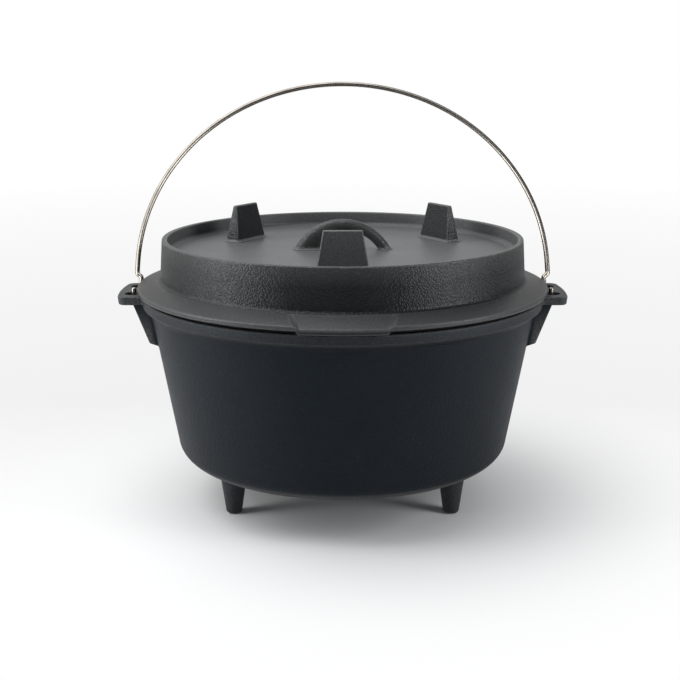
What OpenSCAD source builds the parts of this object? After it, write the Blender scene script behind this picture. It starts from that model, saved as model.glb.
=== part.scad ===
// Camp dutch oven: a legged cast-iron pot, a rimmed lid that holds coals, and a wire bail.
// Millimetres, +Z up. The origin is on the ground under the middle of the pot,
// X runs through the two ears and the front, with the lid's lip, faces -Y.

/* [Pot] */
// Inside diameter of the mouth, at the rim
mouth_d = 305; // [280:1:330]
// Height of the pot from its underside to the rim
pot_h = 134.5; // [110:0.5:160]
// Thickness of the wall
wall_t = 4.5; // [3.5:0.5:6]
// Slope of the wall from upright, in degrees
wall_draft = 10; // [6:0.5:13]
// Thickness of the bottom
floor_t = 5.5; // [4:0.5:8]
// Outer radius of the bottom corner
corner_r = 15.5; // [10:0.5:20]
// Width of the rim's top face
rim_w = 8.7; // [7.7:0.1:11]
// Height of the band round the rim
rim_h = 8.2; // [6:0.2:12]

/* [Legs] */
// Height of the pot's underside above the ground
leg_h = 38.5; // [28:0.5:50]
// Radius of the circle that the legs stand on
leg_circle_r = 101; // [85:1:104]
// Diameter of a leg where it leaves the pot
leg_root_d = 23; // [18:0.5:26]
// Diameter of a leg at the ground, before its edge is rounded
leg_foot_d = 12.4; // [9:0.2:16]
// Radius of the rounded edge under a leg
leg_edge_r = 2.4; // [1:0.2:3]

/* [Ears] */
// Thickness of an ear
ear_t = 7; // [6:0.5:9]
// How far an ear's straight sides stand out past the ribs under it
ear_side = 0.6; // [0.2:0.1:2]
// Radius of an ear's two outer corners
ear_corner_r = 6; // [4:0.5:8]
// Iron left outside the holes, at the ear's outer edge
ear_land = 6.2; // [5:0.2:9]
// How far an ear's outer edge is drawn in at its underside
ear_taper = 0.8; // [0:0.2:2]
// Diameter of an ear hole
ear_hole_d = 12; // [11.4:0.2:13]
// Distance of each hole's centre from the middle of the ear
ear_hole_y = 15; // [14.4:0.1:16.5]
// Distance of the hole centres outside the wire that passes through them
ear_hole_out = 1.4; // [0.6:0.1:1.8]
// Thickness of a rib under an ear
rib_t = 7; // [5:0.5:9]
// Iron left between a hole and the rib beside it
rib_land = 1.2; // [0.8:0.2:2]
// Depth of the ribs, from the rim down to their feet
rib_drop = 40; // [30:0.5:50]
// How far a rib's foot stands out from the wall
rib_foot_out = 4.5; // [2:0.5:7]

/* [Lid] */
// Overhang of the flange past the pot's rim
flange_over = 3.8; // [2.6:0.2:5]
// Width of the flange, from its edge in to the coal rim
flange_w = 18.3; // [15:0.1:21]
// Thickness of the flange's edge
flange_edge_t = 3; // [2:0.2:4]
// Height of the edge's underside above the pot's rim
flange_gap = 3.2; // [2:0.2:4]
// Height of the flange's inner end above the pot's rim
flange_root_h = 12.4; // [10.4:0.2:15]
// Height of the coal rim's top above the pot's rim
coal_rim_h = 44.4; // [40:0.2:52]
// Slope of the coal rim from upright, in degrees
coal_rim_draft = 3.8; // [2:0.2:6]
// Width of the coal rim's top face
coal_rim_t = 4.2; // [3.4:0.2:5.4]
// Depth of the coal tray, from the rim's top to the plate
tray_depth = 11.4; // [8:0.2:15]
// Thickness of the lid's plate
plate_t = 5; // [4:0.5:7]
// Thickness of the lid's wall below the plate
lid_wall_t = 4.5; // [4:0.5:6]
// Depth of the locating ring inside the pot's mouth
ring_h = 4; // [2:0.5:8]
// Room between the locating ring and the mouth
ring_clear = 1.2; // [0.8:0.1:2]
// Room left under the lid's seat
seat_clear = 0.2; // [0.1:0.05:0.5]
// Width of the front lip at the flange's edge
lip_w = 64; // [40:1:90]
// Room between the front lip and the pot's rim
lip_clear = 0.4; // [0.3:0.1:1]

/* [Lid feet] */
// Height of the feet above the plate
foot_h = 30; // [27:0.5:40]
// Width of a foot at the plate
foot_w = 39; // [32:0.5:46]
// Width of a foot at its top
foot_top_w = 29; // [22:0.2:31]
// Thickness of a foot at the plate
foot_t = 12.6; // [10:0.2:18]
// Thickness of a foot at its top
foot_top_t = 3.4; // [3:0.2:9]
// Radius of the circle that the feet stand on
foot_circle_r = 97.5; // [85:0.2:105]
// Angle of the two rear feet from the line through the ears, in degrees
rear_foot_a = 32.5; // [26:0.5:38]

/* [Lid loop] */
// Height of the loop's top above the plate
loop_h = 24.6; // [20:0.2:27]
// Radius of the loop, at the middle of its bar
loop_r = 39; // [36:0.2:46]
// Diameter of the loop's bar
loop_bar_d = 9; // [7:0.2:11]
// Distance from the loop's middle to the inner end of its broad left root
root_in = 13; // [9:0.5:17]
// Thickness of the broad left root
root_t = 8; // [5:0.2:9]

/* [Bail] */
// Diameter of the wire
wire_d = 4; // [3.4:0.1:4.4]
// Room between the wire and the edge of the lid's flange
bail_clear = 0.4; // [0.3:0.1:1]
// Sideways step of the joggle in each leg
joggle_step = 3.7; // [3:0.1:5]
// Distance along the leg from the hook to the middle of the joggle
joggle_at = 18.3; // [14:0.1:22]
// Distance along the leg from the hook to the start of the arch
bail_leg = 31; // [28:0.1:60]
// Radius of the hook, at the middle of the wire
hook_r = 15.6; // [15:0.1:16.6]
// Height of the hinge line above the top of the ears
hinge_up = 1; // [0.4:0.1:2]
// Room between a leg and the edge of its hole when the bail leans back
lean_clear = 0.3; // [0.15:0.05:0.6]
// Height of a hook's end above the hinge line
tip_up = 1.5; // [0:0.1:3]

/* [Hidden] */
$fn = 96;

iron = [0.16, 0.17, 0.18];
steel = [0.78, 0.78, 0.76];
// How far a cut runs past the face that it opens
past = 5;

// Heights
under_z = leg_h;
floor_z = under_z + floor_t;
rim_z = under_z + pot_h;
seat_z = rim_z + seat_clear;

// Pot radii
mouth_r = mouth_d / 2;
rim_r = mouth_r + rim_w;
rim_edge_r = 1.5;
mouth_bevel = 1;
band_cove = 4;
corner_in_r = corner_r - wall_t;

// Legs
leg_fillet = 3;
leg_slope = atan((leg_root_d - leg_foot_d) / 2 / leg_h);

// Ears; the rim's seat stands a little proud of them
ear_edge_r = 1.2;
ear_under_r = 2.4;
ear_slope = atan(ear_taper / (ear_t - ear_edge_r - ear_under_r));
ear_top_z = rim_z - 0.15;
rib_toe = 2;

// Lid radii and heights; heights are measured from the seat
flange_r = rim_r + flange_over;
flange_top_h = flange_gap + flange_edge_t;
coal_base_r = flange_r - flange_w;
coal_top_r = coal_out(coal_rim_h);
coal_edge_r = 1;
plate_top_h = coal_rim_h - tray_depth;
plate_under_h = plate_top_h - plate_t;
plate_z = seat_z + plate_top_h;
tray_r = coal_top_r - coal_rim_t - tray_depth * tan(coal_rim_draft);
tray_fillet = 3;
pan_fillet = 6;
pan_r = coal_out(plate_under_h) - lid_wall_t;
ring_r = mouth_r - ring_clear;
ring_in_r = ring_r - lid_wall_t;
ring_bevel = 1;
ring_step = 0.6;
seat_in_r = mouth_r + mouth_bevel;
seat_out_r = rim_r - 2.6;
flange_edge_r = 1;
flange_fillet = 3;
flange_slope = atan((flange_root_h - flange_top_h) / flange_w);
flange_under_slope = atan(flange_gap / (flange_r - seat_out_r));

// Front lip: lower at the edge than the flange, and wider at its root
lip_drop = 1.8;
lip_flare = 4.5;
lip_top_h = flange_top_h - lip_drop;
lip_in_r = coal_base_r + flange_fillet;
lip_edge_r = 0.8;

// Lid loop
loop_z = plate_z + loop_h - loop_bar_d / 2 - loop_r;
loop_half_a = acos((plate_z - plate_t - loop_z) / loop_r);
root_foot_z = plate_z - plate_t / 3;
root_foot_a = acos((root_foot_z - loop_z) / loop_r);
root_top_a = 30;

// Bail and ears; the hook's plane clears the flange, and the holes follow the hook
wire_r = wire_d / 2;
wire_gap = 0.1;
knuckle_up = 0.04;
hook_x = flange_r + bail_clear + wire_r;
arch_r = hook_x + joggle_step;
joggle_a = 60;
joggle_r = joggle_step / (2 * (1 - cos(joggle_a)));
joggle_half = joggle_r * sin(joggle_a);
ear_hole_x = hook_x + ear_hole_out;
ear_tip_x = ear_hole_x + ear_hole_d / 2 + ear_land;
rib_y = ear_hole_y + ear_hole_d / 2 + rib_land;
rib_top_x = ear_hole_x - rib_land;
ear_half_w = rib_y + rib_t + ear_side;
ear_corner_y = ear_half_w - ear_corner_r;
ear_corner_x = sqrt(pow(ear_tip_x - ear_corner_r, 2) - pow(ear_corner_y, 2));
ear_corner_a = atan2(ear_corner_y, ear_corner_x);
hinge_z = ear_top_z + hinge_up;

// The far edge of a hole, in the hook's plane, seen from the hinge line
hole_edge_y = ear_hole_y + sqrt(pow(ear_hole_d / 2, 2) - pow(ear_hole_out, 2));
hole_edge_r = sqrt(pow(hole_edge_y, 2) + pow(hinge_up, 2));
hole_edge_a = atan2(hinge_up, hole_edge_y);
// The bail leans back until its legs meet those edges
lean_a = hole_edge_a + acos((hook_r + wire_r + lean_clear) / hole_edge_r);
// The hook passes under the bridge between the holes and comes up in front
hook_turn = 180 - lean_a + asin(tip_up / hook_r);
tip_run = 0.6;

// Points along a round stretch of an outline
function arc(c, r, a0, a1, n = 6) =
    [for (i = [0:n]) c + r * [cos(a0 + (a1 - a0) * i / n), sin(a0 + (a1 - a0) * i / n)]];

// Radius of the pot's inner wall at a height, and of its outer wall
function wall_in(z) = mouth_r - (rim_z - z) * tan(wall_draft);
function wall_out(z) = wall_in(z) + wall_t / cos(wall_draft);

// Centre of a round corner of radius r that meets a wall radius at its own height
function corner_x(wall_radius, r) = wall_radius - r * cos(wall_draft);
function corner_wall_z(z0, r) = z0 + r - r * sin(wall_draft);

// Radius of the coal rim's outside at a height above the seat
function coal_out(h) = coal_base_r - (h - flange_root_h) * tan(coal_rim_draft);

// Outside of the pot, from the middle of its underside up to the rim
function pot_outline() = concat(
    [[0, under_z]],
    arc([corner_x(wall_out(corner_wall_z(under_z, corner_r)), corner_r), under_z + corner_r],
        corner_r, -90, -wall_draft, 12),
    [[wall_out(rim_z - rim_h - band_cove), rim_z - rim_h - band_cove]],
    arc([rim_r - rim_edge_r, rim_z - rim_h + rim_edge_r], rim_edge_r, -60, 0, 3),
    arc([rim_r - rim_edge_r, rim_z - rim_edge_r], rim_edge_r, 0, 90, 4),
    [[0, rim_z]]
);

// Inside of the pot, open past the rim
function cavity_outline() = concat(
    [[0, floor_z]],
    arc([corner_x(wall_in(corner_wall_z(floor_z, corner_in_r)), corner_in_r), floor_z + corner_in_r],
        corner_in_r, -90, -wall_draft, 12),
    [[wall_in(rim_z - mouth_bevel), rim_z - mouth_bevel]],
    [[mouth_r + mouth_bevel + past, rim_z + past], [0, rim_z + past]]
);

// Section of the lid, heights from its seat
function lid_outline() = concat(
    [[0, plate_top_h]],
    arc([tray_r - tray_fillet, plate_top_h + tray_fillet], tray_fillet, -90, -coal_rim_draft, 4),
    arc([coal_top_r - coal_rim_t + coal_edge_r, coal_rim_h - coal_edge_r], coal_edge_r, 180, 90, 3),
    arc([coal_top_r - coal_edge_r, coal_rim_h - coal_edge_r], coal_edge_r, 90, 0, 3),
    arc([coal_base_r + flange_fillet, flange_root_h + flange_fillet], flange_fillet,
        180, 270 - flange_slope, 4),
    arc([flange_r - flange_edge_r, flange_top_h - flange_edge_r], flange_edge_r,
        90 - flange_slope, 0, 3),
    arc([flange_r - flange_edge_r, flange_gap + flange_edge_r], flange_edge_r,
        0, flange_under_slope - 90, 3),
    [[seat_out_r, 0], [seat_in_r, 0], [ring_r, -ring_step]],
    [[ring_r, ring_bevel - ring_h], [ring_r - ring_bevel, -ring_h], [ring_in_r, -ring_h]],
    [[coal_base_r - lid_wall_t, flange_root_h]],
    arc([pan_r - pan_fillet, plate_under_h - pan_fillet], pan_fillet, 0, 90, 5),
    [[0, plate_under_h]]
);

// One leg, a round taper with a rounded foot, sunk into the bottom of the pot
module leg() {
    sunk_z = under_z + floor_t / 2;
    rotate_extrude()
        polygon(concat(
            [[0, 0]],
            arc([leg_foot_d / 2 - leg_edge_r, leg_edge_r], leg_edge_r, -90, -leg_slope, 4),
            arc([leg_root_d / 2 + leg_fillet, under_z - leg_fillet], leg_fillet, 180 - leg_slope, 105, 4),
            [[leg_root_d / 2 + leg_fillet, sunk_z], [0, sunk_z]]
        ));
}

// One ear with its ribs, at +X; the holes are cut later
module ear() {
    back_x = mouth_r - rib_t;
    clear_r = ear_tip_x + past;
    intersection() {
        translate([0, 0, ear_top_z - ear_t - past])
            linear_extrude(height = ear_t + 2 * past)
                polygon(concat(
                    [[back_x, -ear_half_w]],
                    arc([ear_corner_x, -ear_corner_y], ear_corner_r, -90, -ear_corner_a),
                    [for (side = [-1, 1]) clear_r * [cos(ear_corner_a), side * sin(ear_corner_a)]],
                    arc([ear_corner_x, ear_corner_y], ear_corner_r, ear_corner_a, 90),
                    [[back_x, ear_half_w]]
                ));
        translate([0, 0, ear_top_z - ear_t])
            rotate_extrude()
                polygon(concat(
                    [[back_x - rib_t, 0]],
                    arc([ear_tip_x - ear_taper - ear_under_r, ear_under_r], ear_under_r, -90, -ear_slope, 4),
                    arc([ear_tip_x - ear_edge_r, ear_t - ear_edge_r], ear_edge_r, -ear_slope, 90, 3),
                    [[back_x - rib_t, ear_t]]
                ));
    }
    foot_z = rim_z - rib_drop;
    foot_x = wall_out(foot_z);
    for (side = [-1, 1])
        translate([0, side * (rib_y + rib_t / 2) + rib_t / 2, 0])
            rotate([90, 0, 0])
                linear_extrude(height = rib_t)
                    polygon([
                        [mouth_r - rib_t, ear_top_z - ear_t / 2],
                        [rib_top_x, ear_top_z - ear_t / 2],
                        [rib_top_x, ear_top_z - ear_t],
                        [foot_x + rib_foot_out, foot_z + rib_toe],
                        [foot_x + rib_foot_out - rib_toe, foot_z],
                        [foot_x - rib_t, foot_z]
                    ]);
}

// The pot: body, legs and ears in one casting
module pot() {
    color(iron)
        difference() {
            union() {
                rotate_extrude() polygon(pot_outline());
                for (a = [90, 210, 330])
                    rotate([0, 0, a]) translate([leg_circle_r, 0, 0]) leg();
                ear();
                mirror([1, 0, 0]) ear();
            }
            rotate_extrude() polygon(cavity_outline());
            for (sx = [-1, 1], sy = [-1, 1])
                translate([sx * ear_hole_x, sy * ear_hole_y, ear_top_z - ear_t - past])
                    cylinder(d = ear_hole_d, h = ear_t + 2 * past);
        }
}

// A foot of the lid: a block with four sloping sides, wide across the radius
module lid_foot() {
    sink = plate_t / 2;
    grow_w = (foot_w - foot_top_w) / foot_h * sink;
    grow_t = (foot_t - foot_top_t) / foot_h * sink;
    translate([foot_circle_r, 0, plate_z - sink])
        intersection() {
            rotate([90, 0, 90])
                linear_extrude(height = 2 * foot_t, center = true)
                    polygon([
                        [-(foot_w + grow_w) / 2, 0], [(foot_w + grow_w) / 2, 0],
                        [foot_top_w / 2, foot_h + sink], [-foot_top_w / 2, foot_h + sink]
                    ]);
            rotate([90, 0, 0])
                linear_extrude(height = 2 * foot_w, center = true)
                    polygon([
                        [-(foot_t + grow_t) / 2, 0], [(foot_t + grow_t) / 2, 0],
                        [foot_top_t / 2, foot_h + sink], [-foot_top_t / 2, foot_h + sink]
                    ]);
        }
}

// The loop handle of the lid, cut off inside the plate
module lid_loop() {
    intersection() {
        translate([0, 0, loop_z])
            rotate([90, 0, 0])
                rotate([0, 0, 90 - loop_half_a])
                    rotate_extrude(angle = 2 * loop_half_a)
                        translate([loop_r, 0]) circle(d = loop_bar_d);
        translate([-loop_r * 2, -loop_bar_d, plate_z - plate_t / 2])
            cube([loop_r * 4, loop_bar_d * 2, loop_h * 2]);
    }
}

// The broad left root of the loop, between its bar and the plate
module lid_loop_root() {
    rotate([90, 0, 0])
        linear_extrude(height = root_t, center = true)
            polygon(concat(
                [[-root_in, root_foot_z], [-root_in, plate_z]],
                arc([0, loop_z], loop_r, 90 + root_top_a, 90 + root_foot_a, 8)
            ));
}

// The wedge of the flange that the front lip takes up, narrowing towards the edge
module lip_wedge() {
    translate([0, 0, rim_z])
        linear_extrude(height = coal_rim_h)
            polygon([
                [-lip_w / 2 - lip_flare, -coal_base_r], [lip_w / 2 + lip_flare, -coal_base_r],
                [lip_w / 2, -flange_r - past], [-lip_w / 2, -flange_r - past]
            ]);
}

// Iron under the front lip, down to just above the pot's rim
module lip_block() {
    intersection() {
        lip_wedge();
        translate([0, 0, seat_z])
            rotate_extrude()
                polygon([
                    [seat_in_r, lip_clear], [flange_r - lip_edge_r, lip_clear],
                    [flange_r, lip_clear + lip_edge_r], [flange_r, lip_top_h], [seat_in_r, lip_top_h]
                ]);
    }
}

// What the lip's steeper top takes off the flange
module lip_slope() {
    intersection() {
        lip_wedge();
        translate([0, 0, seat_z])
            rotate_extrude()
                polygon([
                    [lip_in_r, flange_root_h - lip_edge_r], [flange_r + past, lip_top_h - lip_drop],
                    [flange_r + past, flange_root_h], [lip_in_r, flange_root_h]
                ]);
    }
}

// The lid: plate, coal rim, flange, lip, loop and feet in one casting
module lid() {
    color(iron) {
        difference() {
            union() {
                translate([0, 0, seat_z]) rotate_extrude() polygon(lid_outline());
                lip_block();
            }
            lip_slope();
        }
        lid_loop();
        lid_loop_root();
        for (a = [rear_foot_a, 180 - rear_foot_a, 270])
            rotate([0, 0, a]) lid_foot();
    }
}

// A round bend of the wire, from one angle to another, a hair short of each end
module wire_bend(r, a0, a1) {
    short = asin(wire_gap / r);
    rotate([0, 0, a0 + short])
        rotate_extrude(angle = a1 - a0 - 2 * short) translate([r, 0]) circle(d = wire_d);
}

// A straight stretch of the wire along Z, a hair short of each end
module wire_run(z0, z1) {
    translate([0, 0, z0 + wire_gap]) cylinder(d = wire_d, h = z1 - z0 - 2 * wire_gap);
}

// The knuckle that joins two stretches of the wire
module wire_knuckle() {
    sphere(d = wire_d + 2 * knuckle_up);
}

// One leg of the bail with its joggle and hook, at +X.
// The hinge line is the X axis here, the leg stands up along Z behind it.
module bail_side() {
    joggle_top = joggle_at + joggle_half;
    joggle_foot = joggle_at - joggle_half;
    translate([0, hook_r, 0]) {
        translate([arch_r, 0, bail_leg]) wire_knuckle();
        translate([arch_r, 0, 0]) wire_run(joggle_top, bail_leg);
        translate([arch_r, 0, joggle_top]) wire_knuckle();
        translate([arch_r - joggle_r, 0, joggle_top])
            rotate([90, 0, 0]) wire_bend(joggle_r, -joggle_a, 0);
        translate([(arch_r + hook_x) / 2, 0, joggle_at]) wire_knuckle();
        translate([hook_x + joggle_r, 0, joggle_foot])
            rotate([90, 0, 0]) wire_bend(joggle_r, 180 - joggle_a, 180);
        translate([hook_x, 0, joggle_foot]) wire_knuckle();
        translate([hook_x, 0, 0]) wire_run(0, joggle_foot);
        translate([hook_x, 0, 0]) wire_knuckle();
    }
    translate([hook_x, 0, 0])
        rotate([90, 0, 90]) {
            wire_bend(hook_r, -hook_turn, 0);
            rotate([0, 0, -hook_turn])
                translate([hook_r, 0, 0]) {
                    wire_knuckle();
                    rotate([90, 0, 0]) wire_tip();
                }
        }
}

// The straight end of a hook, with a rounded tip
module wire_tip() {
    rotate_extrude()
        polygon(concat([[0, wire_gap], [wire_r, wire_gap]], arc([0, tip_run], wire_r, 0, 90, 6)));
}

// The bail: one wire, leaning back on the edges of the ear holes
module bail_handle() {
    color(steel)
        translate([0, 0, hinge_z])
            rotate([-lean_a, 0, 0]) {
                translate([0, hook_r, bail_leg])
                    rotate([90, 0, 0]) wire_bend(arch_r, 0, 180);
                bail_side();
                mirror([1, 0, 0]) bail_side();
            }
}

pot();
lid();
bail_handle();
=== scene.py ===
"""Camp dutch oven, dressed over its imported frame.

Two iron castings and one steel wire. Shapes are worked in millimetres, with the part's own
sizes, and handed over in metres.
"""

import logging
import math
from collections.abc import Callable, Iterable, Sequence
from dataclasses import dataclass
from enum import Enum

import bmesh
import bpy
from bmesh.types import BMEdge, BMesh, BMFace, BMVert
from bpy.types import Light, Material, Mesh, Node, NodeSocket, Object, World
from mathutils import Matrix, Vector

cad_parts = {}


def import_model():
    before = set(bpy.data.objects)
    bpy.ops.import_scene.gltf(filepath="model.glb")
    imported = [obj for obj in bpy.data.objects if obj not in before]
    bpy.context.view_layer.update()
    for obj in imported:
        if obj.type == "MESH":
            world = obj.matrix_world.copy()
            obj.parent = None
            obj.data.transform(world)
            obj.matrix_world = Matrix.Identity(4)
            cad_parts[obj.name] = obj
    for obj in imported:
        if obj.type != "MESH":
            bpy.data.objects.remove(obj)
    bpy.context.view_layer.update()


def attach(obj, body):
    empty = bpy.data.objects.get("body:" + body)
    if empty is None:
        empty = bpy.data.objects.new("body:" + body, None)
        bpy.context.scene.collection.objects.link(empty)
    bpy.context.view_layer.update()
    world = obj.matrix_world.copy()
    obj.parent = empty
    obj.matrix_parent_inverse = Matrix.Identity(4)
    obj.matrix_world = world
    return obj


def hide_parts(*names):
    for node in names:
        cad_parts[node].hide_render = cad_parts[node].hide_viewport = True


Point = tuple[float, float, float]
Rgba = tuple[float, float, float, float]
Span = tuple[float, float]

LOG = logging.getLogger("dutch_oven")
MM = 0.001
ORIGIN = (0.0, 0.0, 0.0)
AXIS_X = (1.0, 0.0, 0.0)
AXIS_Y = (0.0, 1.0, 0.0)
AXIS_Z = (0.0, 0.0, 1.0)
WHITE = (1.0, 1.0, 1.0, 1.0)

# Degrees round the Z axis: a full turn, and the side that faces -Y
FULL_TURN = 360.0
FRONT = 270.0

# A quarter turn, in radians
QUARTER = math.pi / 2.0

# Millimetres: the hair by which solids overlap, and how near vertices merge
HAIR = 0.02
WELD = 2e-3

# Turns across an edge: the least that stays a crease, and the one at which the scuffing and painted
# highlight on it show in full
CREASE = math.radians(38.0)
WEAR_AND_HIGHLIGHT_TURN = math.radians(22.0)

# Share of its strength that each finer layer of noise keeps
NOISE_ROUGHNESS = 0.65


class Body(Enum):
    """A body of the frame that a piece rides on."""

    POT = "pot"
    LID = "lid"
    BAIL = "bail"


class Slot(Enum):
    """A material slot of the record."""

    POT_IRON = "pot_iron"
    LID_IRON = "lid_iron"
    BAIL_STEEL = "bail_steel"


class Join(Enum):
    """How a worked solid is put together with the one before it."""

    ADD = "UNION"
    CUT = "DIFFERENCE"


class Rounding(Enum):
    """What is rounded: the edges of a solid or the corners of a flat outline."""

    EDGES = "EDGES"
    CORNERS = "VERTICES"


class Skin(Enum):
    """A value that a casting carries on its vertices for its finish."""

    GRAIN = "grain"
    # Scuffed edges, which also carry painted highlight lines
    WEAR_AND_HIGHLIGHT = "edge_wear"
    # Grey from rubbing, and painted light on lit faces of the lid
    RUB_AND_LIGHT = "rub"


@dataclass(frozen=True)
class Corner:
    """A corner of an outline, with the radius that rounds it."""

    x: float
    y: float
    radius: float = 0.0


@dataclass(frozen=True)
class Level:
    """One level of a block that is raised from its base, with its half sizes."""

    height: float
    half_x: float
    half_y: float


def smoothstep(low: float, high: float, value: float) -> float:
    """Ease from 0 at low to 1 at high."""
    t = min(max((value - low) / (high - low), 0.0), 1.0)
    return t * t * (3.0 - 2.0 * t)


def arc_points(centre: Vector, radius: float, start: float, end: float, steps: int) -> list[Vector]:
    """Points along an arc of a plan outline, both ends included; angles in radians."""
    angles = [start + (end - start) * i / steps for i in range(steps + 1)]
    return [centre + radius * Vector((math.cos(a), math.sin(a))) for a in angles]


def fillet_curve(radius: float, steps: int) -> list[Span]:
    """Height of each point of a fillet from its foot up, and how far it still stands out."""
    angles = [QUARTER * i / steps for i in range(steps + 1)]
    return [(radius * (1.0 - math.cos(a)), radius * (1.0 - math.sin(a))) for a in angles]


def soften(
    bm: BMesh,
    geom: Iterable[BMEdge | BMVert],
    reach: float,
    steps: int,
    rounding: Rounding = Rounding.EDGES,
) -> None:
    """Round edges or corners of a mesh.

    Args:
        bm: The mesh to work in.
        geom: The edges, or the vertices at the corners.
        reach: How far from them the rounding starts.
        steps: How many chords it has.
        rounding: Which of the two they are.
    """
    bmesh.ops.bevel(
        bm,
        geom=list(geom),
        affect=rounding.value,
        offset=reach,
        offset_type="OFFSET",
        segments=steps,
        profile=0.5,
        material=-1,
    )


def rounded_outline(bm: BMesh, corners: Sequence[Corner], steps: int) -> None:
    """Lay an outline in the XZ plane and round its corners.

    Args:
        bm: The mesh to work in, still empty.
        corners: The outline's corners in order.
        steps: Chords in each rounded corner.
    """
    verts = [bm.verts.new((c.x, 0.0, c.y)) for c in corners]
    bm.faces.new(verts)
    places = [v.co.copy() for v in verts]
    for i, corner in enumerate(corners):
        if corner.radius <= 0.0:
            continue
        before = places[i] - places[i - 1]
        after = places[(i + 1) % len(places)] - places[i]
        reach = corner.radius * math.tan(before.angle(after) / 2.0)
        soften(bm, [verts[i]], reach, steps, Rounding.CORNERS)


def split_long_edges(bm: BMesh, edges: Sequence[BMEdge], longest: float) -> None:
    """Cut edges of an outline into short stretches.

    Args:
        bm: The mesh to work in.
        edges: The edges.
        longest: The longest stretch that stays whole.
    """
    for edge in edges:
        cuts = math.ceil(edge.calc_length() / longest) - 1
        if cuts > 0:
            bmesh.ops.subdivide_edges(bm, edges=[edge], cuts=cuts)


def spin(
    bm: BMesh, geom: list, centre: Point, axis: Point, angle: float, steps: int, closed: bool = False
) -> list:
    """Draw geometry of a mesh out round an axis.

    Args:
        bm: The mesh to work in.
        geom: The geometry.
        centre: A point on the axis.
        axis: The axis.
        angle: How far it turns, in radians.
        steps: How many steps it takes.
        closed: Whether the end is joined to the start.

    Returns:
        The geometry at the end of the turn.
    """
    turned = bmesh.ops.spin(
        bm,
        geom=geom,
        cent=centre,
        axis=axis,
        dvec=ORIGIN,
        angle=angle,
        steps=steps,
        use_merge=closed,
        use_duplicate=False,
    )
    return turned["geom_last"]


def revolve(bm: BMesh, sectors: Sequence[tuple[float, int]]) -> None:
    """Turn the outline in a mesh round the Z axis into a closed shell.

    Args:
        bm: The mesh that holds one outline face in the XZ plane.
        sectors: Angle in degrees and number of steps of each sector, a full turn together.
    """
    bmesh.ops.delete(bm, geom=bm.faces[:], context="FACES_ONLY")
    on_axis = [e for e in bm.edges if all(abs(v.co.x) < WELD for v in e.verts)]
    bmesh.ops.delete(bm, geom=on_axis, context="EDGES")
    geom = bm.verts[:] + bm.edges[:]
    for degrees, steps in sectors:
        geom = spin(bm, geom, ORIGIN, AXIS_Z, math.radians(degrees), steps, len(sectors) == 1)
    bmesh.ops.remove_doubles(bm, verts=bm.verts[:], dist=WELD)
    bmesh.ops.recalc_face_normals(bm, faces=bm.faces[:])


def raised(bm: BMesh, face: BMFace) -> tuple[BMFace, list[BMVert]]:
    """Extrude one face in place.

    Args:
        bm: The mesh to work in.
        face: The face that is drawn out.

    Returns:
        The new face and its vertices, still where the old ones are.
    """
    grown = bmesh.ops.extrude_face_region(bm, geom=[face, *face.edges, *face.verts])["geom"]
    top = next(g for g in grown if isinstance(g, BMFace))
    return top, [g for g in grown if isinstance(g, BMVert)]


def raise_block(bm: BMesh, face: BMFace, levels: Sequence[Level]) -> None:
    """Raise a face through a row of levels into a closed block.

    Args:
        bm: The mesh that holds only that face, at the first level's size and at height 0.
        face: The face.
        levels: The levels from the base up.
    """
    bmesh.ops.translate(bm, vec=(0.0, 0.0, levels[0].height), verts=bm.verts[:])
    for low, high in zip(levels, levels[1:]):
        face, verts = raised(bm, face)
        grow = (high.half_x / low.half_x, high.half_y / low.half_y, 1.0)
        bmesh.ops.scale(bm, vec=grow, verts=verts)
        bmesh.ops.translate(bm, vec=(0.0, 0.0, high.height - low.height), verts=verts)
    bmesh.ops.recalc_face_normals(bm, faces=bm.faces[:])


def square_face(bm: BMesh, half_x: float, half_y: float) -> BMFace:
    """Lay a four-sided face flat round the origin.

    Args:
        bm: The mesh to work in, still empty.
        half_x: Half its size along X.
        half_y: Half its size along Y.

    Returns:
        The face.
    """
    bmesh.ops.create_grid(bm, x_segments=1, y_segments=1, size=1.0)
    bmesh.ops.scale(bm, vec=(half_x, half_y, 1.0), verts=bm.verts[:])
    bm.faces.ensure_lookup_table()
    return bm.faces[0]


def round_face(bm: BMesh, radius: float, sides: int, place: Matrix) -> BMFace:
    """Lay the round end of a bar in an empty mesh.

    Args:
        bm: The mesh to work in.
        radius: The bar's radius.
        sides: How many sides it has.
        place: Where the end goes, from a circle round the X axis.

    Returns:
        The face.
    """
    bmesh.ops.create_circle(bm, cap_ends=True, radius=radius, segments=sides)
    across = Matrix.Rotation(QUARTER, 4, "Y")
    bmesh.ops.transform(bm, matrix=place @ across, verts=bm.verts[:])
    bm.faces.ensure_lookup_table()
    return bm.faces[0]


def place_round(angle: float, radius: float, z: float) -> Matrix:
    """Place of a thing that stands at an angle in degrees, a radius and a height."""
    turn = Matrix.Rotation(math.radians(angle), 4, "Z")
    return turn @ Matrix.Translation((radius, 0.0, z))


def solid(bm: BMesh, name: str, place: Matrix | None = None) -> Object:
    """Turn a worked mesh into a scene object in millimetres and free it.

    Args:
        bm: The worked mesh.
        name: The object's name.
        place: Where it goes, or None to leave it.

    Returns:
        The object.
    """
    if place is not None:
        bmesh.ops.transform(bm, matrix=place, verts=bm.verts[:])
        if place.determinant() < 0.0:
            bmesh.ops.reverse_faces(bm, faces=bm.faces[:])
    mesh = bpy.data.meshes.new(name)
    bm.to_mesh(mesh)
    bm.free()
    made = bpy.data.objects.new(name, mesh)
    bpy.context.scene.collection.objects.link(made)
    return made


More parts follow.
